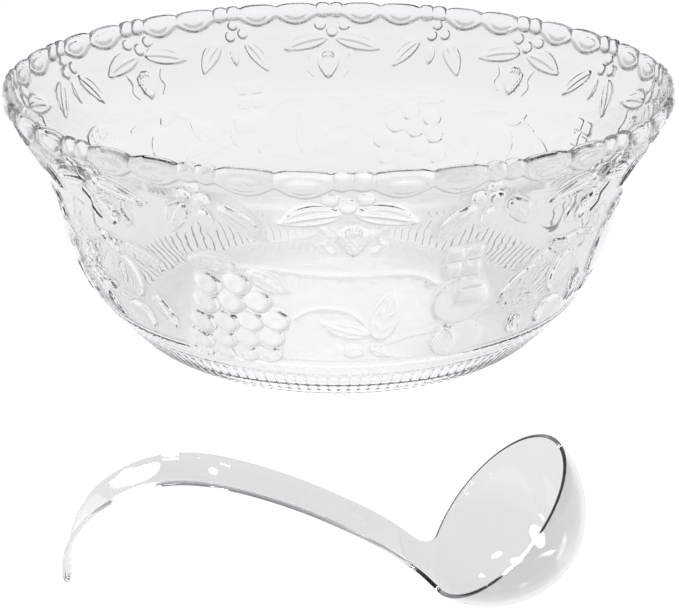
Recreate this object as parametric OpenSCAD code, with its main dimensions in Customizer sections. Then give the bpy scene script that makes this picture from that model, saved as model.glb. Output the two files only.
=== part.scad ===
// Moulded clear punch bowl with a lobed rim, and the one-piece ladle that lies in front of it.
// Millimetres, +Z up, origin at the centre of the bowl's flat base.

/* [Bowl] */
// width across the rim, measured at the top edge
rim_diameter = 340; // [240:1:420]
// height from the table to the rim's top edge
bowl_height = 133.4; // [90:0.2:180]
// width of the flat base
base_diameter = 218; // [140:1:280]
// thickness of the wall and of the floor
wall = 2.6; // [1.8:0.1:4]

/* [Rim band] */
// height of the thicker lobed band under the top edge
band_height = 14; // [8:0.5:24]
// how far the lobes stand out of the wall
lobe_relief = 1.6; // [0.6:0.1:3]
// repeats round the rim, each of two short lobes and two long ones
rim_repeats = 16; // [8:1:24]
// share of one repeat taken by the two short lobes
knot_share = 0.26; // [0.15:0.01:0.4]
// turn of the first pair of short lobes from the front
rim_turn = 1.9; // [0:0.1:22]
// how far inside the rim's radius the lobes meet each other
lobe_inset = 0.8; // [0.2:0.1:2]
// how far beyond the rim's radius the cone that trims the lobes reaches at the top edge
trim_reach = 8; // [4:0.5:14]
// how much that cone widens per millimetre of height
trim_slope = 0.62; // [0.4:0.01:1]

/* [Lower bead] */
// how far the smooth bead above the ribbed heel stands out
bead_relief = 0.8; // [0.4:0.1:2]
// height of the bead's lower edge, as a share of the bowl's height
bead_low_share = 0.13; // [0.08:0.01:0.2]
// height of the bead's upper edge, as a share of the bowl's height
bead_high_share = 0.2; // [0.14:0.01:0.3]
// height of the rounding at each edge of the bead
bead_rounding = 0.6; // [0.2:0.1:1.5]

/* [Ladle cup] */
// radius of the cup at its rim
cup_radius = 35.8; // [25:0.2:45]
// depth of the cup on its outside
cup_depth = 32.8; // [20:0.2:45]
// thickness of the cup's wall
cup_wall = 2.2; // [1.6:0.1:3]
// fullness of the cup: 2 for half an ellipse, less for a more pointed bottom
cup_fullness = 1.6; // [1.3:0.1:2.4]

/* [Ladle handle] */
// height of the handle's arch above the cup's rim
handle_rise = 113; // [80:1:150]
// how far the handle's end reaches beyond the cup's rim
handle_reach = 97; // [60:1:130]
// thickness of the handle
handle_thickness = 2.6; // [2:0.1:4]
// width of the handle where it leaves the cup
handle_width = 18; // [12:0.5:24]
// width of the handle at the top of its arch
arch_width = 20; // [12:0.5:26]
// width that the handle narrows to at its rounded end
end_width = 9; // [6:0.2:24]
// length over which the handle's end is rounded
end_rounding = 8.4; // [4:0.2:14]
// height over which the cup's wall narrows into the handle
root_height = 10.2; // [4:0.2:20]
// how much wider than the handle the root is on the cup's rim, on each side
root_flare = 7.6; // [2:0.2:12]

/* [Ladle on the table] */
// centre of the cup's rim to the right of the bowl's centre line
ladle_x = 58.4; // [-80:0.2:80]
// centre of the cup's rim in front of the bowl's own centre
ladle_y = 270.8; // [240:0.2:340]
// turn of the ladle about the vertical
ladle_yaw = 2.8; // [-20:0.2:20]
// sideways lean of the handle
ladle_lean = 6.7; // [0:0.1:12]

/* [View] */
// which piece to draw

/* [Hidden] */
rim_radius = rim_diameter / 2;
base_radius = base_diameter / 2;
clear_tint = [0.86, 0.89, 0.92, 0.45];
// how far pieces that are fused run into each other
overlap = 0.6;
round_steps = 180;
cup_steps = 96;

// The bowl's outer wall: share of the height, share of the way from base radius to rim radius.
WALL = [
    [0, 0], [0.02, 0.055], [0.055, 0.13], [0.13, 0.27], [0.2, 0.38], [0.32, 0.5],
    [0.46, 0.595], [0.62, 0.67], [0.76, 0.79], [0.86, 0.91], [0.94, 1.0], [1, 1]
];
// The handle's centre line: share of the reach out from the cup's rim, share of the rise above it.
HANDLE = [
    [-0.015, -0.05], [-0.015, 0.07], [-0.005, 0.25], [0.07, 0.5], [0.165, 0.71],
    [0.275, 0.86], [0.425, 0.955], [0.63, 1], [0.84, 0.97], [1, 0.885]
];

// A smooth curve through a list of points, with `steps` short runs between each two.
function at(p, i) = p[min(max(i, 0), len(p) - 1)];
function blend(a, b, c, d, t) =
    0.5 * (2 * b + (c - a) * t + (2 * a - 5 * b + 4 * c - d) * t * t + (3 * b - a - 3 * c + d) * t * t * t);
function smooth(p, steps) = [
    for (i = [0 : len(p) - 2]) for (k = [0 : steps - 1])
        blend(at(p, i - 1), p[i], p[i + 1], at(p, i + 2), k / steps),
    p[len(p) - 1]
];
// The same curve moved sideways: to its right for a positive distance.
function side_of(p, i) = let (d = at(p, i + 1) - at(p, i - 1)) [d.y, -d.x] / norm(d);
function moved(p, distance) = [for (i = [0 : len(p) - 1]) p[i] + distance * side_of(p, i)];
function reversed(p) = [for (i = [len(p) - 1 : -1 : 0]) p[i]];

function wall_point(w) = [base_radius + (rim_radius - base_radius) * w.y, bowl_height * w.x];
wall_line = smooth([for (w = WALL) wall_point(w)], 3);
function wall_radius(z) = lookup(z, [for (p = wall_line) [p.y, p.x]]);
inner_line = [for (p = moved(wall_line, -wall)) if (p.y > wall && p.y < bowl_height - 0.5 && p.x > 0) p];
inner_top = wall_line[len(wall_line) - 1].x - wall;

module bowl_shell() {
    rotate_extrude($fn = round_steps)
        polygon(concat(
            [[0, 0]],
            wall_line,
            [[inner_top, bowl_height]],
            reversed(inner_line),
            [[0, wall]]
        ));
}

// Rim lobes: each repeat runs short, short, long, long; every lobe is a round swell.
short_span = knot_share / 2;
long_span = (1 - knot_share) / 2;
function swell(t, from, span) = sin(180 * (t - from) / span);
function lobe(t) =
    t < short_span ? swell(t, 0, short_span) :
    t < 2 * short_span ? swell(t, short_span, short_span) :
    t < 2 * short_span + long_span ? swell(t, 2 * short_span, long_span) :
    swell(t, 2 * short_span + long_span, long_span);
lobe_marks = concat(
    [for (k = [0 : 3]) k * short_span / 4],
    [for (k = [0 : 3]) short_span + k * short_span / 4],
    [for (k = [0 : 4]) 2 * short_span + k * long_span / 5],
    [for (k = [0 : 4]) 2 * short_span + long_span + k * long_span / 5]
);
first_lobe = -90 + rim_turn - short_span * 360 / rim_repeats;
function lobed_outline(radius) = [
    for (n = [0 : rim_repeats - 1]) for (t = lobe_marks)
        let (r = radius + lobe_relief * lobe(t), a = first_lobe + (n + t) * 360 / rim_repeats)
        [r * cos(a), r * sin(a)]
];

module rim_band() {
    band_foot = bowl_height - band_height;
    bore_low = wall_radius(band_foot) - wall / 2;
    bore_high = rim_radius - wall / 2;
    trim_top = rim_radius + trim_reach;
    difference() {
        intersection() {
            translate([0, 0, band_foot]) linear_extrude(height = band_height)
                polygon(lobed_outline(rim_radius - lobe_inset));
            cylinder(h = bowl_height, r1 = trim_top - trim_slope * bowl_height, r2 = trim_top,
                $fn = round_steps);
        }
        translate([0, 0, band_foot - overlap]) cylinder(
            h = band_height + 2 * overlap, r1 = bore_low, r2 = bore_high, $fn = round_steps);
    }
}

module lower_bead() {
    low = bowl_height * bead_low_share;
    high = bowl_height * bead_high_share;
    middle = (low + high) / 2;
    edge_relief = bead_relief * 0.7;
    rotate_extrude($fn = round_steps) polygon([
        [wall_radius(low) - wall / 2, low],
        [wall_radius(low) + edge_relief, low + bead_rounding],
        [wall_radius(middle) + bead_relief, middle],
        [wall_radius(high) + edge_relief, high - bead_rounding],
        [wall_radius(high) - wall / 2, high]
    ]);
}

module bowl() {
    color(clear_tint) union() {
        bowl_shell();
        rim_band();
        lower_bead();
    }
}

// Ladle, in its own frame: the cup's rim lies in the XY plane round the origin, its mouth faces +Z,
// and the handle rises from the rim on the +X side.
function cup_radius_at(depth) = cup_radius * sqrt(max(0, 1 - pow(depth / cup_depth, cup_fullness)));
// Depths of a number of rings, closer together near the bottom, where the cup turns fastest.
function ring_depths(count) = [for (k = [0 : count]) cup_depth * (1 - pow(1 - k / count, 1.7))];
cup_line = [for (d = ring_depths(14)) [cup_radius_at(d), -d]];
cup_inner = [
    for (d = ring_depths(12))
        [cup_radius_at(d) * (1 - cup_wall / cup_radius), -d * (1 - cup_wall / cup_depth)]
];

module cup() {
    rotate_extrude($fn = cup_steps) polygon(concat(cup_line, reversed(cup_inner)));
}

function handle_point(h) = [cup_radius + handle_reach * h.x, handle_rise * h.y];
handle_line = smooth([for (h = HANDLE) handle_point(h)], 4);
handle_outline = concat(
    moved(handle_line, handle_thickness / 2),
    reversed(moved(handle_line, -handle_thickness / 2))
);

// Half the handle's width at a distance x from the cup's axis: widest on the arch, rounded at the end.
// Each width is given with its share of the reach.
WIDTHS = [[0.05, handle_width / 2], [0.45, arch_width / 2], [0.7, arch_width / 2], [1, end_width / 2]];
tip_x = cup_radius + handle_reach + handle_thickness;
rounding_x = tip_x - end_rounding;
function half_width(x) =
    let (body = lookup((x - cup_radius) / handle_reach, WIDTHS))
    x < rounding_x ? body : body * sqrt(max(0, 1 - pow((x - rounding_x) / end_rounding, 2)));
plan_places = concat(
    [for (k = [0 : 13]) rounding_x * k / 13],
    [for (k = [1 : 8]) rounding_x + end_rounding * sin(90 * k / 8)]
);
plan_side = [for (x = plan_places) [x, half_width(x)]];

module handle() {
    intersection() {
        rotate([90, 0, 0]) translate([0, 0, -arch_width]) linear_extrude(height = 2 * arch_width)
            polygon(handle_outline);
        translate([0, 0, -handle_rise]) linear_extrude(height = 3 * handle_rise)
            polygon(concat(plan_side, reversed([for (p = plan_side) [p.x, -p.y]])));
    }
}

// The cup's wall runs up into the handle's root, narrowing in a curve on each side.
function root_half(share) = handle_width / 2 + root_flare * pow(1 - share, 2);
module handle_root() {
    marks = [0, 0.15, 0.3, 0.5, 0.75, 1];
    edge = [for (s = marks) [root_half(s), root_height * s]];
    intersection() {
        translate([0, 0, -overlap]) rotate_extrude($fn = cup_steps) translate([cup_radius - cup_wall, 0])
            square([cup_wall, root_height + overlap]);
        rotate([90, 0, 90]) linear_extrude(height = cup_radius + overlap) polygon(concat(
            [[root_half(0), -overlap]], edge,
            reversed([for (p = edge) [-p.x, p.y]]), [[-root_half(0), -overlap]]
        ));
    }
}

module ladle_shape() {
    union() {
        cup();
        handle();
        handle_root();
    }
}

// The ladle rests on its cup and on the end of its handle: the tilt of the cup's axis above the
// table is found by halving until the handle's end just meets the table.
function cup_reach(tilt) = max([for (p = cup_line) p.x * cos(tilt) - p.y * sin(tilt)]);
function height_of(p, half, tilt) =
    cup_reach(tilt) + p.y * sin(tilt) - cos(tilt) * (p.x * cos(ladle_lean) + half * sin(ladle_lean));
function lowest_handle(tilt) = min([for (p = handle_outline) height_of(p, half_width(p.x), tilt)]);
function settled(low, high, left) =
    let (middle = (low + high) / 2)
    left == 0 ? middle : lowest_handle(middle) > 0 ? settled(low, middle, left - 1)
        : settled(middle, high, left - 1);
ladle_tilt = settled(20, 75, 22);

module ladle() {
    color(clear_tint)
        translate([ladle_x, -ladle_y, cup_reach(ladle_tilt)])
        rotate([0, 90 - ladle_tilt, 180 + ladle_yaw])
        rotate([0, 0, -ladle_lean])
        ladle_shape();
}

bowl();
ladle();
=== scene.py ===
"""Moulded clear punch bowl and its ladle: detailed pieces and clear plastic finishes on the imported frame."""

import sys
import logging
import math
from dataclasses import dataclass, field
from enum import Enum
from typing import Any, Sequence

import bpy
import numpy as np
from mathutils import Matrix, Vector


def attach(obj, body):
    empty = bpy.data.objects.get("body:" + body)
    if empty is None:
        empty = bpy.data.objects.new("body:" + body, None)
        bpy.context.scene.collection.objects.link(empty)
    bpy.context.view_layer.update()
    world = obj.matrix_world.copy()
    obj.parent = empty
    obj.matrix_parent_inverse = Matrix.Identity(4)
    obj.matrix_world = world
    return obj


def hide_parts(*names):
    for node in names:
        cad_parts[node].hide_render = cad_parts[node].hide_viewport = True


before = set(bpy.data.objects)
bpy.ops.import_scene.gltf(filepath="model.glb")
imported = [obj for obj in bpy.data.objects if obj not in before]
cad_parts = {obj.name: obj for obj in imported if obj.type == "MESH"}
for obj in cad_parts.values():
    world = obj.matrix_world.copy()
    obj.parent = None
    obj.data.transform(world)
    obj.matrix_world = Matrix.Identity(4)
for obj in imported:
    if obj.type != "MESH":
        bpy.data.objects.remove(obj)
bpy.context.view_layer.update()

Piece = bpy.types.Object
Material = bpy.types.Material

LOG = logging.getLogger("punch_bowl")
MM = 0.001
TURN = 360.0
SAME_PLACE = 1e-6


class Slot(Enum):
    """Material slots of the record."""

    BOWL = "bowl_plastic"
    LADLE = "ladle_plastic"


# ---- shader building


class Value:
    """A shader socket that can be used in Python arithmetic."""

    def __init__(self, graph: "Graph", socket: Any) -> None:
        """Keeps the graph that new Math nodes go into and the socket itself."""
        self.graph = graph
        self.socket = socket

    def _math(self, operation: str, *parts: Any) -> "Value":
        """Adds one Math node.

        Args:
            operation: the node's operation.
            parts: numbers or values for its inputs.

        Returns:
            The node's result.
        """
        inputs = {i: p for i, p in enumerate(parts)}
        return self.graph.node("ShaderNodeMath", {"operation": operation}, inputs)

    def __add__(self, other: Any) -> "Value":
        """self + other."""
        return self._math("ADD", self, other)

    __radd__ = __add__

    def __sub__(self, other: Any) -> "Value":
        """self - other."""
        return self._math("SUBTRACT", self, other)

    def __rsub__(self, other: Any) -> "Value":
        """other - self."""
        return self._math("SUBTRACT", other, self)

    def __mul__(self, other: Any) -> "Value":
        """self * other."""
        return self._math("MULTIPLY", self, other)

    __rmul__ = __mul__

    def clamped(self) -> "Value":
        """The value held between 0 and 1."""
        return self._math("MINIMUM", self._math("MAXIMUM", self, 0.0), 1.0)


class Graph:
    """A node tree with one way to add a node."""

    def __init__(self, tree: bpy.types.NodeTree) -> None:
        """Starts from an empty tree."""
        self.tree = tree
        tree.nodes.clear()

    def node(self, kind: str, settings: dict[str, Any] | None = None,
             inputs: dict[Any, Any] | None = None, output: int | str = 0) -> Value:
        """Adds a node.

        Args:
            kind: the node's type.
            settings: its properties, or "stops" for a colour ramp.
            inputs: a number, colour or Value for each input, by name or place.
            output: which output to return.

        Returns:
            The chosen output, ready for arithmetic.
        """
        made = self.tree.nodes.new(kind)
        for name, setting in (settings or {}).items():
            if name == "stops":
                ramp = made.color_ramp
                while len(ramp.elements) < len(setting):
                    ramp.elements.new(0.5)
                for element, (place, colour) in zip(ramp.elements, setting):
                    element.position = place
                    element.color = colour
            else:
                setattr(made, name, setting)
        for key, given in (inputs or {}).items():
            socket = made.inputs[key]
            if isinstance(given, Value):
                self.tree.links.new(given.socket, socket)
            else:
                socket.default_value = given
        outputs = made.outputs
        return Value(self, outputs[output]) if len(outputs) else Value(self, None)


@dataclass(frozen=True)
class ClearPlastic:
    """Moulded clear plastic: glossy, with faint ripple, cloud and wear, and with an edge tone mixed into its
    colour where it is seen edge on: painted shade along the bowl's silhouettes, which also stands for the
    longer path through tinted plastic, and painted light along the ladle's.
    """

    name: str
    tint: tuple[float, float, float]
    deep_tint: tuple[float, float, float]
    # Darker edge tone: painted shade along the silhouettes, partly standing for the longer path through tinted
    # plastic.
    painted_edge_tone: tuple[float, float, float] = (0.72, 0.74, 0.785)
    ior: float = 1.57
    polish: float = 0.0
    haze: float = 0.012
    ripple: float = 0.02
    ripple_scale: float = 26.0
    cloud_scale: float = 9.0
    wear_scale: float = 60.0
    wear_start: float = 0.55
    wear_contrast: float = 4.0

    def make(self) -> Material:
        """Builds the material.

        Returns:
            The material.
        """
        material = bpy.data.materials.new(self.name)
        material.use_nodes = True
        graph = Graph(material.node_tree)
        place = graph.node("ShaderNodeTexCoord", output="Object")
        flow = graph.node("ShaderNodeTexNoise", {"noise_dimensions": "3D"},
                          {"Vector": place, "Scale": self.ripple_scale, "Detail": 1.0, "Roughness": 0.4})
        cloud = graph.node("ShaderNodeTexNoise", {},
                           {"Vector": place, "Scale": self.cloud_scale, "Detail": 2.0})
        handling = graph.node("ShaderNodeTexNoise", {},
                              {"Vector": place, "Scale": self.wear_scale, "Detail": 3.0})
        colour = graph.node("ShaderNodeMix", {"data_type": "RGBA"},
                            {0: cloud, 6: (*self.tint, 1.0), 7: (*self.deep_tint, 1.0)}, output=2)
        # Painted edge tone: where the surface is seen edge on, its colour is mixed towards the edge tone,
        # which paints shade along the bowl's silhouettes and light along the ladle's.
        facing = graph.node("ShaderNodeLayerWeight", {}, {"Blend": 0.5}, output="Facing")
        edge = facing * facing * facing * facing
        colour = graph.node("ShaderNodeMix", {"data_type": "RGBA"},
                            {0: edge, 6: colour, 7: (*self.painted_edge_tone, 1.0)}, output=2)
        wear = ((handling - self.wear_start) * self.wear_contrast).clamped()
        roughness = wear * self.haze + self.polish
        bump = graph.node("ShaderNodeBump", {}, {"Strength": self.ripple, "Distance": MM, "Height": flow})
        shader = graph.node("ShaderNodeBsdfPrincipled", {}, {
            "Base Color": colour, "Roughness": roughness, "Normal": bump, "IOR": self.ior,
            "Transmission Weight": 1.0})
        graph.node("ShaderNodeOutputMaterial", {}, {"Surface": shader})
        return material


@dataclass(frozen=True)
class PaintedLightFloor:
    """The glowing floor, with a painted pool of light: white round the pieces and greyer further out, mostly
    along the view.
    """

    name: str = "floor_painted_light_pool"
    strength: float = 1.6
    reach: float = 2.0
    stops: tuple[tuple[float, float], ...] = (
        (0.0, 0.92), (0.035, 0.9), (0.08, 0.66), (0.52, 0.63), (0.74, 0.46), (1.0, 0.43))
    narrowing: float = 1.7

    def make(self) -> Material:
        """Builds the material.

        Returns:
            The material.
        """
        material = bpy.data.materials.new(self.name)
        material.use_nodes = True
        graph = Graph(material.node_tree)
        place = graph.node("ShaderNodeTexCoord", output="Object")
        squeezed = graph.node("ShaderNodeVectorMath", {"operation": "MULTIPLY"},
                              {0: place, 1: (self.narrowing, 1.0, 1.0)})
        distance = graph.node("ShaderNodeVectorMath", {"operation": "LENGTH"}, {0: squeezed}, output=1)
        # Painted pool of light: the grey stops glow brightest round the pieces and dimmer further out.
        grey = graph.node("ShaderNodeValToRGB", {"stops": [(at, (v, v, v, 1.0)) for at, v in self.stops]},
                          {0: distance * (1.0 / self.reach)})
        shader = graph.node("ShaderNodeEmission", {}, {"Color": grey, "Strength": self.strength})
        graph.node("ShaderNodeOutputMaterial", {}, {"Surface": shader})
        return material


# ---- modelling helpers


def smooth_step(low: float, high: float, at: np.ndarray) -> np.ndarray:
    """A soft step from 0 at low to 1 at high."""
    t = np.clip((at - low) / (high - low), 0.0, 1.0)
    return t * t * (3.0 - 2.0 * t)


class Track:
    """A smooth curve through a list of points, measured along its length."""

    def __init__(self, points: Sequence[Sequence[float]], steps: int = 12) -> None:
        """Runs a Catmull-Rom curve through the points.

        Args:
            points: the points, in order.
            steps: short runs between each two points.
        """
        p = np.asarray(points, float)
        ends = np.vstack([p[:1], p, p[-1:]])
        runs = []
        for i in range(len(p) - 1):
            a, b, c, d = ends[i:i + 4]
            for t in np.arange(steps) / steps:
                runs.append(0.5 * (2 * b + (c - a) * t + (2 * a - 5 * b + 4 * c - d) * t * t
                                   + (3 * b - a - 3 * c + d) * t ** 3))
        runs.append(p[-1])
        self.line = np.array(runs)
        self.marks = np.concatenate([[0.0], np.cumsum(np.linalg.norm(np.diff(self.line, axis=0), axis=1))])
        self.length = float(self.marks[-1])

    def at(self, length: Any) -> np.ndarray:
        """The points at the given lengths along the curve."""
        return np.stack([np.interp(length, self.marks, self.line[:, k]) for k in (0, 1)], axis=-1)

    def side(self, length: Any) -> np.ndarray:
        """Finds the unit normals on the right-hand side of the curve.

        Args:
            length: lengths along the curve.

        Returns:
            The normals, one for each length.
        """
        ahead = self.at(np.asarray(length) + 0.5) - self.at(np.asarray(length) - 0.5)
        ahead /= np.linalg.norm(ahead, axis=-1, keepdims=True)
        return np.stack([ahead[..., 1], -ahead[..., 0]], axis=-1)


def coordinates(piece: Piece) -> np.ndarray:
    """Reads the vertices of a piece, in millimetres.

    Args:
        piece: the piece.

    Returns:
        One row of x, y and z for each vertex.
    """
    flat = np.empty(len(piece.data.vertices) * 3)
    piece.data.vertices.foreach_get("co", flat)
    return flat.reshape(-1, 3) / MM


def front_angle(points: np.ndarray) -> np.ndarray:
    """Angle of each point from the front, in degrees, rising to the right."""
    return np.degrees(np.arctan2(points[:, 0], -points[:, 1]))


def place_vertices(piece: Piece, points: np.ndarray) -> None:
    """Moves the vertices of a piece to points given in millimetres."""
    piece.data.vertices.foreach_set("co", (points * MM).ravel())
    piece.data.update()


def select_vertices(piece: Piece, chosen: np.ndarray) -> None:
    """Selects vertices and the edges between them, and no faces, in object mode.

    Args:
        piece: the piece.
        chosen: whether each vertex is selected.
    """
    mesh = piece.data
    mesh.vertices.foreach_set("select", chosen)
    ends = np.empty(len(mesh.edges) * 2, int)
    mesh.edges.foreach_get("vertices", ends)
    mesh.edges.foreach_set("select", chosen[ends.reshape(-1, 2)].all(axis=1))
    mesh.polygons.foreach_set("select", np.zeros(len(mesh.polygons), bool))


def pick(piece: Piece) -> None:
    """Makes a piece the only selected and the active one.

    Args:
        piece: the piece.
    """
    bpy.ops.object.select_all(action="DESELECT")
    piece.select_set(True)
    bpy.context.view_layer.objects.active = piece


def face_outwards(piece: Piece) -> None:
    """Turns the faces of a piece the same way round, outwards.

    Args:
        piece: the piece.
    """
    pick(piece)
    bpy.ops.object.mode_set(mode="EDIT")
    bpy.ops.mesh.select_all(action="SELECT")
    bpy.ops.mesh.normals_make_consistent(inside=False)
    bpy.ops.object.mode_set(mode="OBJECT")


def start_line(name: str, points: np.ndarray) -> Piece:
    """Draws an open line of edges in the XZ plane by extruding a single vertex from point to point.

    Args:
        name: the new object's name.
        points: (x, z) in millimetres.

    Returns:
        The object, in edit mode with the whole line selected.
    """
    bpy.ops.object.select_all(action="DESELECT")
    bpy.ops.mesh.primitive_plane_add(size=MM, location=(0.0, 0.0, 0.0))
    piece = bpy.context.object
    piece.name = name
    select_vertices(piece, np.array([False, True, True, True]))
    bpy.ops.object.mode_set(mode="EDIT")
    bpy.ops.mesh.select_mode(type="VERT")
    bpy.ops.mesh.delete(type="VERT")
    bpy.ops.mesh.select_all(action="SELECT")
    corner = np.array([-0.5, -0.5])
    first = (points[0][0] - corner[0], -corner[1], points[0][1])
    bpy.ops.transform.translate(value=tuple(MM * v for v in first))
    for a, b in zip(points[:-1], points[1:]):
        step = (MM * (b[0] - a[0]), 0.0, MM * (b[1] - a[1]))
        bpy.ops.mesh.extrude_vertices_move(TRANSFORM_OT_translate={"value": step})
    bpy.ops.mesh.select_all(action="SELECT")
    return piece


def turn_line(piece: Piece, steps: int) -> None:
    """Turns a drawn line once round the Z axis into a closed ring of faces.

    Args:
        piece: the line, in edit mode; it is left in object mode.
        steps: faces round the ring.
    """
    bpy.ops.object.mode_set(mode="OBJECT")
    turn = piece.modifiers.new("turn", "SCREW")
    turn.angle = math.tau
    turn.steps = turn.render_steps = steps
    turn.use_merge_vertices = True
    turn.merge_threshold = SAME_PLACE
    bpy.ops.object.modifier_apply(modifier=turn.name)


def open_edges(piece: Piece) -> np.ndarray:
    """Finds the vertices on edges that have only one face.

    Args:
        piece: the piece.

    Returns:
        Whether each vertex lies on an open edge.
    """
    mesh = piece.data
    ends = np.empty(len(mesh.loops), int)
    mesh.loops.foreach_get("edge_index", ends)
    uses = np.bincount(ends, minlength=len(mesh.edges))
    pairs = np.empty(len(mesh.edges) * 2, int)
    mesh.edges.foreach_get("vertices", pairs)
    found = np.zeros(len(mesh.vertices), bool)
    found[pairs.reshape(-1, 2)[uses == 1].ravel()] = True
    return found


def fill_ring(piece: Piece, ring: np.ndarray) -> None:
    """Closes an open ring with one face, and leaves nothing selected.

    Args:
        piece: the piece, which is the active one.
        ring: whether each vertex is on the ring.
    """
    select_vertices(piece, ring)
    bpy.ops.object.mode_set(mode="EDIT")
    bpy.ops.mesh.select_mode(type="EDGE")
    bpy.ops.mesh.edge_face_add()
    bpy.ops.mesh.select_all(action="DESELECT")
    bpy.ops.object.mode_set(mode="OBJECT")


def finish_piece(piece: Piece, body: str, node: str, material: Material) -> None:
    """Gives a piece its material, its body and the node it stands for.

    Args:
        piece: the finished object.
        body: the body it rides on.
        node: the node it replaces.
        material: its material.
    """
    piece.data.materials.clear()
    piece.data.materials.append(material)
    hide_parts(node)
    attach(piece, body)
    triangles = sum(len(f.vertices) - 2 for f in piece.data.polygons)
    LOG.info("%s: %d triangles", piece.name, triangles)


# ---- relief on the bowl's wall


class Relief:
    """Height of the moulded pattern over the outer wall, in millimetres.

    A place on the wall is given by its angle from the front in degrees, rising to the right, and by
    its length up the wall from the base in millimetres.
    """

    def __init__(self, angle: np.ndarray, up: np.ndarray, wall: Track) -> None:
        """Starts with a plain wall.

        Args:
            angle: angle of each vertex.
            up: length up the wall of each vertex.
            wall: the wall's line, (radius, height).
        """
        self.angle = angle
        self.up = up
        self.wall = wall
        self.radius = wall.at(up)[:, 0]
        self.height = np.zeros_like(up)
        self.edge = 1.3  # width of the soft step round each shape

    def spread(self, centre: float, repeat: float) -> np.ndarray:
        """Distance of every vertex along the wall from the nearest repeat of a centre angle."""
        return np.radians((self.angle - centre + repeat / 2) % repeat - repeat / 2) * self.radius

    def spot(self, centre: float, place: Sequence[float]) -> np.ndarray:
        """A place as (distance along, length up) from a centre angle."""
        return np.array([math.radians(place[0] - centre) * float(self.wall.at(place[1])[0]), place[1]])

    def lay(self, height: np.ndarray) -> None:
        """Lays a raised shape over what is there."""
        self.height = np.maximum(self.height, height)

    def dome(self, at: Sequence[float], half: Sequence[float], height: float, repeat: float,
             lean: Sequence[float] = (0.0, 0.0), step: float = 0.5, over: float = 0.0,
             square: float = 2.0, dimple: float = 0.0) -> None:
        """Raises a round, oval or squared swell.

        Args:
            at: its centre.
            half: half its width and half its height.
            height: how far it stands out.
            repeat: degrees between copies round the bowl.
            lean: direction in which it stands out further.
            step: share of the height taken by the step at its edge.
            over: extra height that puts it over its neighbours.
            square: 2 for an oval, more for a squarer outline.
            dimple: depth of a hollow in its middle.
        """
        a = self.spread(at[0], repeat) / half[0]
        b = (self.up - at[1]) / half[1]
        rho = (np.abs(a) ** square + np.abs(b) ** square) ** (1.0 / square)
        crown = np.sqrt(np.clip(1.0 - rho * rho, 0, 1)) * (1.0 + lean[0] * a + lean[1] * b)
        edge = smooth_step(0.0, self.edge, (1.0 - rho) * min(half))
        hollow = dimple * smooth_step(0.5, 0.3, rho)
        shape = (height * step + over) * edge + height * (1 - step) * crown - hollow
        self.lay(np.where(rho < 1, shape, 0.0))

    def leaf(self, base: Sequence[float], tip: Sequence[float], half: float, height: float, repeat: float,
             bend: float = 0.0, veins: int = 0, hollow: float = 0.4) -> None:
        """Raises a leaf with a crisp edge, a hollow blade and a midrib.

        Args:
            base: where its stalk joins it.
            tip: its point.
            half: half its greatest width.
            height: how far its edge stands out.
            repeat: degrees between copies round the bowl.
            bend: how far its middle is pushed sideways.
            veins: side veins on each half.
            hollow: share of the height by which the blade sinks inside its edge.
        """
        centre = (base[0] + tip[0]) / 2
        start, end = self.spot(centre, base), self.spot(centre, tip)
        along = end - start
        length = float(np.linalg.norm(along))
        along /= length
        x = self.spread(centre, repeat) - start[0]
        y = self.up - start[1]
        t = (x * along[0] + y * along[1]) / length
        across = y * along[0] - x * along[1] - bend * 4 * t * (1 - t)
        width = np.maximum(half * np.sin(np.pi * np.clip(t, 0, 1) ** 0.85) ** 0.8, 1e-3)
        share = np.abs(across) / width
        edge = smooth_step(0.0, self.edge, width * (1.0 - share))
        blade = hollow * smooth_step(0.34, 0.52, 1.0 - share)
        blade = blade * smooth_step(1.0, 0.82, t) * smooth_step(0.0, 0.15, t)
        rib = (hollow + 0.15) * np.exp(-((across / 0.9) ** 2)) * smooth_step(0.95, 0.7, t)
        if veins:
            vein = np.cos(2 * np.pi * (veins * t - 1.1 * share)) > 0.6
            rib = np.maximum(rib, 0.7 * hollow * vein * (share > 0.1) * (share < 0.62))
        shape = edge * (0.75 + 0.25 * (1.0 - share * share)) - blade + np.minimum(rib, blade + 0.15)
        ends = smooth_step(0.0, 0.14, t) * smooth_step(1.0, 0.93, t)
        self.lay(np.where((t > 0) & (t < 1) & (share < 1), height * shape * ends, 0.0))

    def stem(self, places: Sequence[Sequence[float]], half: float, height: float, repeat: float) -> None:
        """Raises a stem along a smooth path.

        Args:
            places: the places that it passes.
            half: half its width.
            height: how far it stands out.
            repeat: degrees between copies round the bowl.
        """
        centre = sum(p[0] for p in places) / len(places)
        path = Track([self.spot(centre, p) for p in places], 4).line
        x, y = self.spread(centre, repeat), self.up
        nearest = np.full_like(x, 1e6)
        for a, b in zip(path[:-1], path[1:]):
            run = b - a
            share = np.clip(((x - a[0]) * run[0] + (y - a[1]) * run[1]) / float(run @ run), 0, 1)
            nearest = np.minimum(nearest, np.hypot(x - a[0] - share * run[0], y - a[1] - share * run[1]))
        self.lay(height * np.clip(1.0 - (nearest / half) ** 2, 0, 1) ** 0.6)

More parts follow.
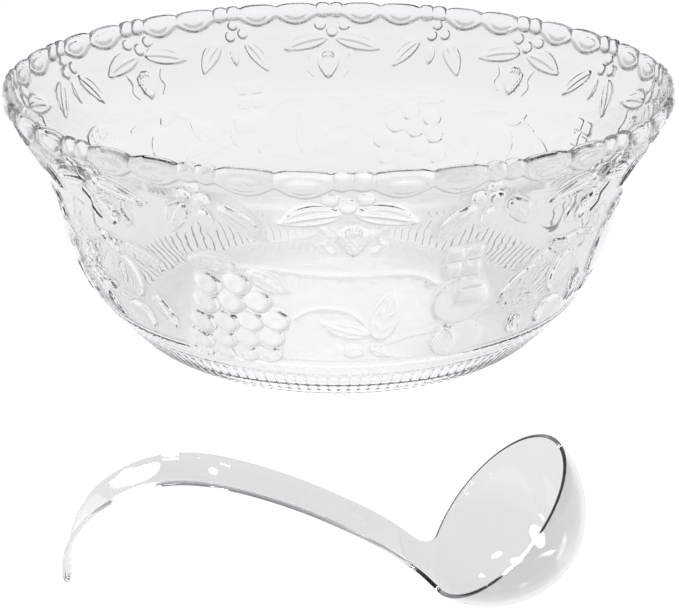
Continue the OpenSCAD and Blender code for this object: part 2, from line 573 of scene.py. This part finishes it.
    def berry(self, at: Sequence[float], repeat: float) -> None:
        """Raises a strawberry with a seeded face and a small crown of leaves.

        Args:
            at: its centre.
            repeat: degrees between copies round the bowl.
        """
        low, high, half, height = -9.0, 7.5, 7.2, 1.5
        seed_step, seed_row, seed_depth = 2.8, 2.4, 0.45
        wall_radius = 165.0
        x = self.spread(at[0], repeat)
        y = self.up - at[1]
        t = np.clip((y - low) / (high - low), 0, 1)
        width = half * np.sin(np.pi * (t * 0.62)) ** 0.75 * np.clip((1 - t) * 6, 0, 1) ** 0.5
        share = np.abs(x) / np.maximum(width, 1e-3)
        inside = (share < 1) & (t > 0) & (t < 1)
        ends = np.clip(np.minimum(t, 1 - t) * 7, 0, 1) ** 0.5
        body = height * np.clip(1 - share ** 2, 0, 1) ** 0.5 * ends
        row = np.round(y / seed_row)
        seed_x = (x + seed_step / 2 * (row % 2)) % seed_step - seed_step / 2
        seed = np.exp(-((seed_x / 0.6) ** 2 + ((y - row * seed_row) / 0.8) ** 2))
        self.lay(np.where(inside, body - seed_depth * seed * (share < 0.8), 0.0))
        for reach in (-4.6, -1.6, 1.6, 4.6):
            degrees = math.degrees(reach / wall_radius)
            self.leaf((at[0] + degrees * 0.2, at[1] + 8.6), (at[0] + degrees, at[1] + 3.2), 1.5, 1.9, repeat,
                      hollow=0.0)


@dataclass
class Bowl:
    """The round bowl: ribbed heel, fruit frieze, drops and a lobed rim, in one closed skin."""

    node: str = "bowl"
    body: str = "bowl"
    rim_diameter: float = 340.0
    height: float = 133.4
    base_diameter: float = 218.0
    base_rounding: float = 2.6
    wall: float = 2.6
    columns: int = 1824
    fine: int = 2
    faces_kept: int = 170000
    inner_columns: int = 304
    softboxes: bool = False
    ribs: int = 152
    rib_depth: float = 0.36
    rib_depth_added_behind: float = 0.44
    heel_top: float = 24.2
    bead_height: float = 0.4
    bead_low: float = 24.0
    bead_high: float = 36.0
    bead_slope: float = 1.8
    cord_rows: tuple[float, float] = (25.6, 34.4)
    cord_height: float = 0.17
    cord_half: float = 1.3
    frieze_fading: float = 0.35
    neck_setback: float = 1.0
    waviness: float = 0.03
    knots: int = 16
    knot_turn: float = 1.9
    lobe_starts: tuple[float, float, float, float] = (0.0, 2.75, 5.75, 14.35)
    notch_depths: tuple[float, float, float, float] = (1.1, 1.1, 1.7, 1.7)
    short_lobes: int = 2
    lobe_sags: tuple[float, float] = (1.6, 6.4)
    lobe_heights: tuple[float, float] = (1.5, 1.4)
    groove_depth: float = 0.35
    core_height: float = 0.5
    band_foot: float = 141.3
    band_step: float = 0.5
    shares: tuple[tuple[float, float], ...] = (
        (0, 0), (0.02, 0.055), (0.055, 0.13), (0.13, 0.27), (0.2, 0.38), (0.32, 0.5),
        (0.46, 0.595), (0.62, 0.67), (0.76, 0.79), (0.86, 0.91), (0.94, 1.0), (1, 1))
    line: Track = field(init=False)

    def __post_init__(self) -> None:
        """Works out the wall's outer line, (radius, height)."""
        base, rim = self.base_diameter / 2, self.rim_diameter / 2
        self.line = Track([(base + (rim - base) * out, self.height * up) for up, out in self.shares])

    @property
    def lip(self) -> float:
        """Radius of the rounded top edge."""
        return self.wall / 2

    def outer_rows(self) -> np.ndarray:
        """Spaces the rings of vertices up the wall, closer where the pattern is fine.

        Returns:
            The lengths, from the base up.
        """
        top = self.line.length - self.lip
        spans = ((0.7, 24.0, 8), (24.0, 36.0, 8), (36.0, 97.0, 39), (97.0, 134.0, 24), (134.0, top, 12))
        rows = [np.linspace(a, b, n * self.fine, endpoint=False) for a, b, n in spans]
        return np.concatenate(rows + [[top]])

    def foot_line(self) -> np.ndarray:
        """Points from the flat underside round to the first outer ring."""
        edge = self.base_diameter / 2
        return np.array([[edge - self.base_rounding, 0.0], [edge - self.base_rounding / 2, 0.04]])

    def lip_line(self) -> np.ndarray:
        """Rounds the top edge over from the last outer ring.

        Returns:
            Three points, (radius, height).
        """
        foot, side = self.line.at(self.line.length - self.lip), self.line.side(self.line.length - self.lip)
        centre = foot - side * self.lip
        angles = np.radians([35.0, 75.0, 115.0])
        up = np.array([-side[1], side[0]])
        return np.array([centre + self.lip * (math.cos(a) * side + math.sin(a) * up) for a in angles])

    def inner_line(self) -> np.ndarray:
        """Runs down the smooth inner wall and onto the floor, from just under the top edge.

        Returns:
            The points, (radius, height).
        """
        marks = np.linspace(self.line.length - self.lip, 6.0, 34)
        down = self.line.at(marks) - self.wall * self.line.side(marks)
        down = down[down[:, 1] > self.wall + 3.2]
        last = down[-1]
        corner = np.array([[last[0] - 2.2, last[1] - 1.6], [last[0] - 4.8, self.wall + 0.55],
                           [last[0] - 7.6, self.wall + 0.1], [last[0] - 11.0, self.wall]])
        return np.vstack([down, corner])

    def lobes(self) -> list[tuple[float, float]]:
        """Angles at which each lobe of one repeat begins and ends."""
        return list(zip(self.lobe_starts, (*self.lobe_starts[1:], TURN / self.knots)))

    def phase(self, angle: np.ndarray) -> np.ndarray:
        """Angle from the start of the repeat of lobes in which each vertex lies."""
        return (angle - self.knot_turn + self.lobe_starts[1]) % (TURN / self.knots)

    def notch(self, angle: np.ndarray) -> np.ndarray:
        """Works out how far the top edge drops between the lobes.

        Args:
            angle: angles from the front.

        Returns:
            The drop at each angle.
        """
        phase = self.phase(angle)
        drop = np.zeros_like(angle)
        for (low, high), depth in zip(self.lobes(), self.notch_depths):
            inside = (phase >= low) & (phase <= high)
            middle = np.abs((phase - low) / (high - low) * 2 - 1)
            drop = np.where(inside, depth * middle ** 3, drop)
        return drop

    def dip(self, points: np.ndarray) -> np.ndarray:
        """How far each point of the wall sinks to follow the top edge."""
        near_top = smooth_step(self.height - 12, self.height - 1, points[:, 2])
        return self.notch(front_angle(points)) * near_top

    def pattern(self, angle: np.ndarray, up: np.ndarray) -> np.ndarray:
        """Height of the moulded pattern.

        Args:
            angle: angle of each vertex.
            up: length up the wall of each vertex.

        Returns:
            How far each vertex stands out of the plain wall.
        """
        relief = Relief(angle, up, self.line)
        self.frieze(relief)
        relief.height *= 1.0 - self.frieze_fading * smooth_step(100.0, 140.0, np.abs(angle))
        self.drops(relief)
        self.band(relief)
        self.heel(relief)
        height = relief.height - self.neck_setback * smooth_step(126.0, 137.0, up)
        a, b = np.radians(angle), up / 22.0
        flow = np.sin(5 * a + b) + np.sin(11 * a - 1.7 * b + 1.0) + np.sin(17 * a + 2.6 * b + 2.2)
        return height + self.waviness * flow * smooth_step(20.0, 40.0, up)

    def heel(self, relief: Relief) -> None:
        """Adds the heel's ribs, deeper behind, and the bead over them with its two corded rows.

        Args:
            relief: the relief that it is laid on.
        """
        up = relief.up
        grain = np.abs(np.sin(np.pi * self.ribs * relief.angle / TURN))
        behind = smooth_step(60.0, 120.0, np.abs(relief.angle))
        depth = self.rib_depth + self.rib_depth_added_behind * behind
        ribs = depth * grain ** 0.8 * smooth_step(-3.0, 1.0, up)
        ribs = ribs * smooth_step(self.heel_top, self.heel_top - 2.2, up)
        bead = self.bead_height * smooth_step(self.bead_low, self.bead_low + self.bead_slope, up)
        bead = bead * smooth_step(self.bead_high, self.bead_high - self.bead_slope, up)
        relief.height = relief.height + ribs + bead
        for line in self.cord_rows:
            round_cord = np.clip(1.0 - ((up - line) / self.cord_half) ** 2, 0, 1) ** 0.5
            relief.height = relief.height + self.cord_height * grain * round_cord

    def band(self, relief: Relief) -> None:
        """Raises the lobes of the rim: two short beads and two long ones with a core in each repeat.

        Args:
            relief: the relief that it is laid on.
        """
        top = self.line.length + 1.0
        phase = self.phase(relief.angle)
        for number, (low, high) in enumerate(self.lobes()):
            short = number < self.short_lobes
            share = (phase - low) / (high - low)
            inside = (share >= 0) & (share < 1)
            arch = np.sin(np.pi * np.clip(share, 0, 1))
            foot = self.band_foot - self.lobe_sags[not short] * arch ** 0.8
            reach = (top - foot) / 2
            place = (relief.up - foot) / reach - 1.0
            crown = np.clip(1.0 - place * place, 0, 1) ** 0.5
            plateau = self.band_step * smooth_step(foot - 0.2, foot + 1.8, relief.up)
            if short:
                height = plateau + self.lobe_heights[0] * crown * arch ** 0.5
            else:
                core = np.clip(1.0 - ((place + 0.1) / 0.6) ** 2 - (np.abs(share - 0.5) / 0.42) ** 2, 0, 1)
                groove = self.groove_depth * smooth_step(0.0, 0.3, core)
                swell = self.core_height * smooth_step(0.15, 0.9, core)
                height = plateau + self.lobe_heights[1] * crown ** 1.6 * arch ** 0.5 - groove + swell
            relief.lay(np.where(inside, height, 0.0))

    def drops(self, relief: Relief) -> None:
        """Raises the berries, leaves and strawberries that hang from the rim.

        Args:
            relief: the relief that it is laid on.
        """
        step = 2 * TURN / self.knots
        a = self.knot_turn
        for turn, up, size in ((-3.1, 134.6, 3.5), (2.1, 135.0, 3.5), (-0.5, 130.9, 3.7)):
            relief.dome((a + turn, up), (size + 0.5, size + 0.2), 1.5, step)
        relief.leaf((a - 0.8, 127.2), (a - 11.6, 119.0), 6.3, 1.1, step, bend=-1.6)
        relief.leaf((a + 0.2, 127.2), (a + 10.8, 119.4), 6.3, 1.1, step, bend=1.6)
        relief.berry((a + 0.5, 109.6), step)
        relief.stem([(a - 4.4, 117.5), (a - 3.4, 112.0), (a - 4.2, 107.0), (a - 3.0, 102.5)], 0.8, 0.52, step)
        relief.stem([(a + 5.4, 117.5), (a + 4.4, 112.0), (a + 5.2, 107.0), (a + 3.8, 102.5)], 0.8, 0.52, step)
        b = self.knot_turn - TURN / self.knots
        for turn, up, size in ((-3.1, 131.6, 3.6), (-1.1, 137.0, 3.4), (-0.2, 130.4, 3.6)):
            relief.dome((b + turn, up), (size, size), 1.5, step)
        relief.leaf((b + 2.2, 127.4), (b + 8.2, 108.6), 5.6, 1.15, step, bend=1.6)
        relief.leaf((b - 3.2, 127.0), (b - 8.0, 106.0), 5.6, 1.15, step, bend=-1.6)
        relief.leaf((b - 0.6, 125.0), (b - 0.4, 111.0), 3.4, 1.0, step)

    def frieze(self, relief: Relief) -> None:
        """Raises the fruit, leaves and branches four times over, and the grapes and plain fruit twice.

        Args:
            relief: the relief that it is laid on.
        """
        quarter = TURN / 4
        rows = (((-28.8, 39.4), (-23.6, 40.2), (-18.4, 41.4), (-13.9, 42.2)),
                ((-27.5, 46.5), (-22.2, 49.7), (-17.4, 52.1), (-12.8, 53.8)),
                ((-25.9, 57.8), (-21.0, 60.4), (-16.2, 62.5), (-11.4, 64.2)),
                ((-24.4, 70.2), (-19.3, 72.5), (-14.4, 74.4)),
                ((-23.5, 80.5), (-17.9, 82.7)))
        for level, row in enumerate(rows):
            for at in row:
                relief.dome(at, (6.7, 6.5), 1.5 + 0.12 * level, 2 * quarter, lean=(0.42, -0.35), step=0.12,
                            over=0.05 * level, dimple=0.3)
        side = quarter - 21.0
        relief.dome((side - 2.0, 70.0), (19.0, 17.5), 0.9, 2 * quarter, lean=(0.2, 0.1), step=0.3)
        relief.dome((side + 6.0, 50.5), (13.0, 12.0), 1.0, 2 * quarter, lean=(0.2, -0.1), step=0.3)
        relief.leaf((side - 8.0, 46.0), (side - 0.5, 56.0), 5.0, 0.8, 2 * quarter, bend=0.8, veins=3)
        relief.dome((22.4, 71.0), (14.2, 13.2), 1.2, quarter, lean=(0.15, -0.2))
        relief.dome((23.7, 75.0), (8.0, 5.4), 2.3, quarter, step=0.4, square=4.0)
        for turn in (19.9, 23.5):
            for up in (88.6, 97.2):
                relief.dome((turn, up), (4.5, 4.1), 1.0, quarter, step=0.7, square=5.0)
        relief.dome((23.4, 47.6), (13.4, 11.6), 1.15, quarter, lean=(0.2, -0.25), over=0.05)
        relief.dome((2.9, 45.5), (5.0, 4.4), 1.3, quarter)
        relief.dome((47.0, 71.5), (9.5, 12.4), 0.85, quarter, lean=(0.15, -0.2))
        relief.dome((47.0, 49.0), (8.6, 8.6), 0.8, quarter, lean=(0.15, -0.2))
        leaves = (((-16.0, 90.0), (-9.0, 79.0), 5.5, 0.95, 1.0, 4),
                  ((-17.0, 90.5), (-27.0, 92.0), 5.5, 0.95, -1.0, 4),
                  ((7.4, 51.0), (9.6, 81.0), 7.0, 1.05, 0.6, 4),
                  ((6.2, 56.5), (-3.4, 64.5), 5.2, 0.8, 1.0, 3),
                  ((5.6, 49.0), (11.0, 40.5), 3.6, 0.88, 0.0, 0),
                  ((30.5, 66.5), (38.5, 83.0), 6.2, 0.8, -1.0, 4),
                  ((31.5, 64.0), (41.5, 60.0), 5.6, 0.8, 0.8, 4),
                  ((47.0, 84.5), (40.5, 92.5), 4.6, 0.95, 0.0, 3),
                  ((53.0, 66.5), (56.5, 47.0), 5.0, 0.8, 1.2, 4),
                  ((36.5, 55.0), (38.5, 40.0), 4.6, 0.95, -0.8, 3))
        for base, tip, half, height, bend, veins in leaves:
            relief.leaf(base, tip, half, height, quarter, bend=bend, veins=veins)
        stems = (
            (((-20.0, 88.0), (-15.0, 92.0), (-8.0, 91.0), (-1.4, 89.6), (12.0, 89.4), (17.5, 82.3)),
             0.8, 0.36),
            (((21.5, 82.0), (22.5, 90.0), (21.0, 98.0)), 1.19, 0.66),
            (((20.4, 57.5), (22.2, 50.0), (21.6, 41.0)), 0.68, 1.7),
            (((8.7, 49.1), (12.2, 53.4), (16.2, 55.3), (22.5, 57.4), (25.7, 59.4), (31.9, 66.3)), 0.9, 0.42),
            (((-8.0, 66.0), (-4.0, 72.0), (2.0, 70.0), (6.0, 58.0)), 0.77, 0.48),
            (((38.0, 84.0), (44.0, 90.0), (51.0, 90.0), (56.0, 86.0)), 1.02, 0.6))
        for places, half, height in stems:
            relief.stem(places, half, height, quarter)

    def shape_outside(self, piece: Piece) -> None:
        """Moves the outer skin's vertices out to the pattern and the lip down between its lobes.

        Args:
            piece: the outer skin.
        """
        points = coordinates(piece)
        radius = np.hypot(points[:, 0], points[:, 1])
        rows = self.outer_rows()
        places = np.vstack([self.foot_line(), self.line.at(rows), self.lip_line()])
        ups = np.concatenate([[0.0, 0.0], rows, np.full(3, rows[-1])])
        foot_shares, lip_shares = [0.0, 0.4], [0.8, 0.45, 0.12]
        weights = np.concatenate([foot_shares, np.ones(len(rows)), lip_shares])
        near = np.argmin((radius[:, None] - places[None, :, 0]) ** 2
                         + (points[:, 2][:, None] - places[None, :, 1]) ** 2, axis=1)
        up = ups[near]
        out = self.pattern(front_angle(points), up) * weights[near]
        side = self.line.side(up)
        level_near_base = smooth_step(0.0, 3.0, up)
        z = points[:, 2] + out * (side[:, 1] * level_near_base) - self.dip(points)
        scale = (radius + out * side[:, 0]) / radius
        moved = np.stack([points[:, 0] * scale, points[:, 1] * scale, np.maximum(z, 0.0)], axis=1)
        place_vertices(piece, moved)

    def thin(self, piece: Piece) -> None:
        """Merges faces where the skin is plain, so that most are left on the pattern's edges.

        Args:
            piece: the outer skin, which is the active piece.
        """
        count = sum(len(f.vertices) - 2 for f in piece.data.polygons)
        if count > self.faces_kept:
            fewer = piece.modifiers.new("fewer", "DECIMATE")
            fewer.ratio = self.faces_kept / count
            bpy.ops.object.modifier_apply(modifier=fewer.name)

    def build(self) -> Piece:
        """Models the bowl.

        Returns:
            The finished mesh object.
        """
        outer_line = np.vstack([self.foot_line(), self.line.at(self.outer_rows()), self.lip_line()])
        piece = start_line("punch_bowl_skin", outer_line)
        turn_line(piece, self.columns)
        self.shape_outside(piece)
        self.thin(piece)

        inner = start_line("inner_wall", self.inner_line())
        turn_line(inner, self.inner_columns)
        points = coordinates(inner)
        points[:, 2] -= self.dip(points)
        place_vertices(inner, points)
        rim = open_edges(inner)
        top_ring = rim & (points[:, 2] > self.height / 2)
        floor_ring = rim & ~top_ring

        fill_ring(inner, floor_ring)
        select_vertices(inner, top_ring)

        points = coordinates(piece)
        rim = open_edges(piece)
        lip_ring = rim & (points[:, 2] > self.height / 2)
        base_ring = rim & ~lip_ring
        pick(piece)
        fill_ring(piece, base_ring)
        select_vertices(piece, lip_ring)

        inner.select_set(True)
        bpy.ops.object.join()
        bpy.ops.object.mode_set(mode="EDIT")
        bpy.ops.mesh.select_mode(type="EDGE")
        bpy.ops.mesh.bridge_edge_loops()
        bpy.ops.object.mode_set(mode="OBJECT")
        face_outwards(piece)
        bpy.ops.object.shade_smooth(keep_sharp_edges=True)
        return piece

    def dress(self, piece: Piece) -> None:
        """Gives the bowl its finish and its place in the frame."""
        finish = ClearPlastic("bowl_clear_plastic", (0.885, 0.892, 0.905), (0.865, 0.872, 0.885))
        finish_piece(piece, self.body, self.node, finish.make())


@dataclass
class Ladle:
    """The one-piece ladle: a deep cup whose wall runs up into an arched strap handle.

    Its own frame has the cup's axis as Z, the rim at 0 and the handle on the +X side.
    """

    node: str = "ladle"
    body: str = "ladle"
    cup_radius: float = 35.8
    cup_depth: float = 32.8
    wall: float = 1.5
    rise: float = 113.0
    reach: float = 97.0
    thickness: float = 2.6
    root_width: float = 18.0
    arch_width: float = 20.0
    end_width: float = 9.0
    end_rounding: float = 8.4
    root_spread: float = 27.0
    flare_height: float = 10.0
    camber_height: float = 45.0
    crown_height: float = 0.9
    edge_bead: float = 0.55
    edge_rounding: float = 0.7
    across: float = 58.4
    ahead: float = 270.8
    yaw: float = 2.8
    lean: float = 6.7
    columns: int = 120
    softboxes: bool = True
    shares: tuple[tuple[float, float], ...] = (
        (-0.015, -0.05), (-0.015, 0.07), (-0.005, 0.25), (0.07, 0.5), (0.165, 0.71),
        (0.275, 0.86), (0.425, 0.955), (0.63, 1), (0.84, 0.97), (1, 0.885))
    line: Track = field(init=False)

    def __post_init__(self) -> None:
        """Works out the handle's centre line, (distance from the cup's axis, height over the rim)."""
        self.line = Track([(self.cup_radius + self.reach * x, self.rise * y) for x, y in self.shares])

    def cup_line(self, count: int = 20) -> np.ndarray:
        """Runs up the cup's outside from its lowest point to its rim.

        Args:
            count: steps between the two.

        Returns:
            The points, (radius, height).
        """
        depth = self.cup_depth * (1 - (np.arange(count + 1) / count) ** 1.7)
        radius = self.cup_radius * np.sqrt(np.maximum(0.0, 1 - (depth / self.cup_depth) ** 1.6))
        return np.stack([radius, -depth], axis=1)

    def half_width(self, x: float) -> float:
        """Works out half the handle's width.

        Args:
            x: distance from the cup's axis.

        Returns:
            Half the width.
        """
        tip = self.cup_radius + self.reach + self.thickness
        share = (x - self.cup_radius) / self.reach
        widths = (self.root_width, self.arch_width, self.arch_width, self.end_width)
        body = float(np.interp(share, (0.05, 0.45, 0.7, 1.0), widths)) / 2
        past = max(0.0, x - tip + self.end_rounding) / self.end_rounding
        return body * math.sqrt(max(0.0, 1 - past ** 2))

    def tilt(self) -> float:
        """Finds the tilt of the cup's axis at which the cup and the handle's end both meet the table.

        Returns:
            The tilt in degrees.
        """
        lengths = np.linspace(0, self.line.length, 60)
        outline = np.vstack([self.line.at(lengths) + self.thickness / 2 * s * self.line.side(lengths)
                             for s in (-1, 1)])
        low, high = 20.0, 75.0
        for _ in range(24):
            middle = (low + high) / 2
            c, s = math.cos(math.radians(middle)), math.sin(math.radians(middle))
            lean = math.radians(self.lean)
            floor = self.cup_reach(middle)
            clear = min(floor + z * s - c * (x * math.cos(lean) + self.half_width(x) * math.sin(lean))
                        for x, z in outline)
            low, high = (low, middle) if clear > 0 else (middle, high)
        return (low + high) / 2

    def cup_reach(self, tilt: float) -> float:
        """Height of the rim's centre over the table at a tilt."""
        c, s = math.cos(math.radians(tilt)), math.sin(math.radians(tilt))
        return max(float(p[0]) * c - float(p[1]) * s for p in self.cup_line(40))

    def pose(self) -> Matrix:
        """Works out the ladle's place on the table.

        Returns:
            The matrix from the ladle's own frame to the table, in millimetres.
        """
        tilt = self.tilt()
        LOG.info("ladle tilt %.2f", tilt)
        return (Matrix.Translation((self.across, -self.ahead, self.cup_reach(tilt)))
                @ Matrix.Rotation(math.radians(180 + self.yaw), 4, "Z")
                @ Matrix.Rotation(math.radians(90 - tilt), 4, "Y")
                @ Matrix.Rotation(math.radians(-self.lean), 4, "Z"))

    def build(self) -> Piece:
        """Models the ladle.

        Returns:
            The finished mesh object.
        """
        piece = start_line("ladle_skin", self.cup_line())
        turn_line(piece, self.columns)
        self.raise_handle(piece)
        face_outwards(piece)
        self.orient_outward(piece)
        solid = piece.modifiers.new("wall", "SOLIDIFY")
        solid.thickness = self.wall * MM
        solid.offset = -1.0
        solid.use_even_offset = True
        bevel = piece.modifiers.new("edges", "BEVEL")
        bevel.width = self.edge_rounding * MM
        bevel.segments = 4
        bevel.limit_method = "ANGLE"
        bevel.angle_limit = math.radians(50)
        rounding = piece.modifiers.new("smooth", "SUBSURF")
        rounding.levels = 1
        rounding.render_levels = 1
        for name in ("wall", "edges", "smooth"):
            bpy.ops.object.modifier_apply(modifier=name)
        piece.data.transform(Matrix.Scale(MM, 4) @ self.pose() @ Matrix.Scale(1 / MM, 4))
        bpy.ops.object.shade_smooth()
        return piece

    def orient_outward(self, piece: Piece) -> None:
        """Turns all faces over if the cup's bottom faces up.

        Args:
            piece: the ladle, before it is tilted.
        """
        lowest = min(piece.data.polygons, key=lambda f: f.center.z)
        if lowest.normal.z > 0:
            bpy.ops.object.mode_set(mode="EDIT")
            bpy.ops.mesh.select_all(action="SELECT")
            bpy.ops.mesh.flip_normals()
            bpy.ops.object.mode_set(mode="OBJECT")

    def raise_handle(self, piece: Piece) -> None:
        """Extrudes the rim's edge on the handle's side along the handle's line, narrowing it to a strap.

        Args:
            piece: the cup.
        """
        points = coordinates(piece)
        angle = np.degrees(np.arctan2(points[:, 1], points[:, 0]))
        rim = (np.abs(points[:, 2]) < 1e-4) & (np.abs(angle) < self.root_spread + 0.1)
        select_vertices(piece, rim)
        bpy.ops.object.mode_set(mode="EDIT")
        bpy.ops.mesh.select_mode(type="EDGE")
        bpy.ops.object.mode_set(mode="OBJECT")
        rest_width = points[rim][:, 1].max()
        tip = self.cup_radius + self.reach + self.thickness / 2
        end_run = 9.0
        before_end = self.line.length - end_run
        last_rows = before_end + end_run * np.sin(np.linspace(0.15, 1.0, 8) * np.pi / 2)
        rows = np.concatenate([np.linspace(1.2, 14.0, 9), np.linspace(18.0, before_end, 34), last_rows])
        base = float(np.interp(0.0, self.line.line[:, 1], self.line.marks))
        for along in rows:
            along = base + along * (self.line.length - base) / self.line.length
            bpy.ops.object.mode_set(mode="EDIT")
            bpy.ops.mesh.extrude_edges_move(TRANSFORM_OT_translate={"value": (0.0, 0.0, MM)})
            bpy.ops.object.mode_set(mode="OBJECT")
            chosen = np.empty(len(piece.data.vertices), bool)
            piece.data.vertices.foreach_get("select", chosen)
            moved = coordinates(piece)
            self.place_row(moved, chosen, along, along - base, rest_width, tip)
            place_vertices(piece, moved)

    def place_row(self, points: np.ndarray, chosen: np.ndarray, along: float, above: float,
                  rest_width: float, tip: float) -> None:
        """Places one row of the handle across its centre line.

        Args:
            points: all vertices; the chosen ones are changed.
            chosen: which vertices make the row.
            along: length along the handle's line.
            above: length above the rim.
            rest_width: half the width of the row on the rim.
            tip: distance of the handle's end from the cup's axis.
        """
        centre = self.line.at(along)
        side = self.line.side(along)
        lane = points[chosen][:, 1]
        lane = lane / np.abs(lane).max()
        least_half, strap_half = 0.6, 10.0
        half = self.half_width(min(float(centre[0]), tip - 0.05))
        flare = (rest_width - half) * max(0.0, 1.0 - above / self.flare_height) ** 2.4
        half = max(half + flare, least_half)
        place = lane * half
        round_rim = self.cup_radius - np.sqrt(np.maximum(self.cup_radius ** 2 - place ** 2, 0.0))
        camber = (1.0 - smooth_step(0.0, self.camber_height, np.array(above))) * round_rim
        strap = smooth_step(10.0, 60.0, np.array(above))
        crown = self.crown_height * strap * (place / strap_half) ** 2
        bead = self.edge_bead * strap * smooth_step(0.7, 0.98, np.abs(lane))
        inward = camber + crown + bead - self.thickness / 2
        points[chosen] = np.stack([centre[0] - side[0] * inward, place, centre[1] - side[1] * inward], axis=1)

    def dress(self, piece: Piece) -> None:
        """Gives the ladle its finish and its place in the frame.

        Args:
            piece: the finished ladle.
        """
        # Darker tint: partly the plastic's own tone and partly painted shade under the cup; the lighter bluish
        # edge tone is painted light along the ladle's silhouettes that thins its dark rim lines.
        finish = ClearPlastic("ladle_clear_plastic", (0.79, 0.788, 0.787), (0.775, 0.773, 0.772),
                              (0.9, 0.915, 0.95), polish=0.045)
        finish_piece(piece, self.body, self.node, finish.make())


@dataclass(frozen=True)
class Softbox:
    """One soft oval light: its name, place, size and power."""

    name: str
    at: tuple[float, float, float]
    size: tuple[float, float]
    power: float


@dataclass
class Studio:
    """The glowing floor with its painted pool of light, the soft surround light, the softboxes and the camera.
    """

    floor_radius: float = 6.0
    floor_gap: float = 0.0004
    surround_stops: tuple[tuple[float, tuple[float, float, float]], ...] = (
        (0.0, (0.72, 0.72, 0.74)), (0.22, (0.58, 0.58, 0.61)),
        (0.5, (0.2, 0.21, 0.24)), (1.0, (0.17, 0.18, 0.21)))
    boxes: tuple[Softbox, ...] = (
        Softbox("softbox_over", (-0.17, -0.19, 1.5), (0.13, 0.3), 3.5),
        Softbox("softbox_left", (-0.57, 0.16, 1.3), (0.2, 0.34), 6.0),
        Softbox("softbox_rear_left", (-0.95, 0.78, 0.66), (0.6, 0.9), 38.0),
        Softbox("softbox_rear", (0.26, 0.62, 1.22), (0.08, 0.16), 1.2),
        Softbox("softbox_rear_low", (0.13, 0.83, 1.06), (0.08, 0.16), 1.2),
        Softbox("softbox_side", (-1.5, -0.2, 0.95), (1.1, 0.5), 22.0))
    aim: tuple[float, float, float] = (0.0, -0.1, 0.0)
    camera_at: tuple[float, float, float] = (0.0, -0.719, 0.3139)
    camera_pitch: float = 66.41
    lens: float = 74.76
    sensor: float = 36.0
    frame_width: int = 679

    def build(self) -> None:
        """Builds the floor, the surround and the camera."""
        self.floor()
        self.surround()
        self.camera()

    def floor(self) -> None:
        """Adds the floor, a wide disc just under the pieces that glows with a painted pool of light."""
        bpy.ops.object.select_all(action="DESELECT")
        bpy.ops.mesh.primitive_circle_add(vertices=96, radius=self.floor_radius, fill_type="NGON",
                                          location=(0.0, 0.0, -self.floor_gap))
        floor = bpy.context.object
        floor.name = "studio_floor"
        floor.data.materials.append(PaintedLightFloor().make())

    def surround(self) -> None:
        """Sets the surround: pale low down all round, dimmer overhead."""
        world = bpy.data.worlds.new("studio_surround")
        bpy.context.scene.world = world
        world.use_nodes = True
        graph = Graph(world.node_tree)
        direction = graph.node("ShaderNodeTexCoord", output="Generated")
        up = graph.node("ShaderNodeSeparateXYZ", {}, {0: direction}, output=2)
        stops = [(at, (*colour, 1.0)) for at, colour in self.surround_stops]
        grey = graph.node("ShaderNodeValToRGB", {"stops": stops}, {0: up.clamped()})
        shader = graph.node("ShaderNodeBackground", {}, {"Color": grey, "Strength": 1.0})
        graph.node("ShaderNodeOutputWorld", {}, {"Surface": shader})

    def softboxes(self, piece: Piece) -> None:
        """Adds soft lights whose highlights fall on one piece.

        Args:
            piece: the piece that they light.
        """
        lit = bpy.data.collections.new("lit_by_softboxes")
        lit.objects.link(piece)
        for box in self.boxes:
            light = bpy.data.lights.new(box.name, "AREA")
            light.shape = "ELLIPSE"
            light.size, light.size_y = box.size
            light.energy = box.power
            lamp = bpy.data.objects.new(box.name, light)
            lamp.location = box.at
            lamp.rotation_euler = (Vector(self.aim) - Vector(box.at)).to_track_quat("-Z", "Y").to_euler()
            bpy.context.scene.collection.objects.link(lamp)
            lamp.light_linking.receiver_collection = lit

    def camera(self) -> None:
        """Adds the camera."""
        data = bpy.data.cameras.new("view")
        data.lens = self.lens
        data.sensor_width = self.sensor
        data.sensor_fit = "HORIZONTAL"
        data.shift_x = 1.0 / self.frame_width
        data.clip_end = 50.0
        camera = bpy.data.objects.new("view", data)
        camera.location = self.camera_at
        camera.rotation_euler = (math.radians(self.camera_pitch), 0.0, 0.0)
        bpy.context.scene.collection.objects.link(camera)
        scene = bpy.context.scene
        scene.camera = camera
        scene.view_settings.view_transform = "Standard"
        scene.cycles.max_bounces = 24
        scene.cycles.transmission_bounces = 20
        scene.cycles.glossy_bounces = 16


def main() -> None:
    """Builds the studio and the pieces, and reports each."""
    logging.basicConfig(level=logging.INFO, stream=sys.stdout,
                        format="%(name)s %(relativeCreated)d ms: %(message)s")
    studio = Studio()
    studio.build()
    for part in (Bowl(), Ladle()):
        piece = part.build()
        part.dress(piece)
        if part.softboxes:
            studio.softboxes(piece)
        points = coordinates(piece)
        lows, highs = points.min(axis=0).round(2), points.max(axis=0).round(2)
        LOG.info("%s from %s to %s mm", piece.name, lows, highs)


if __name__ == "__main__":
    main()
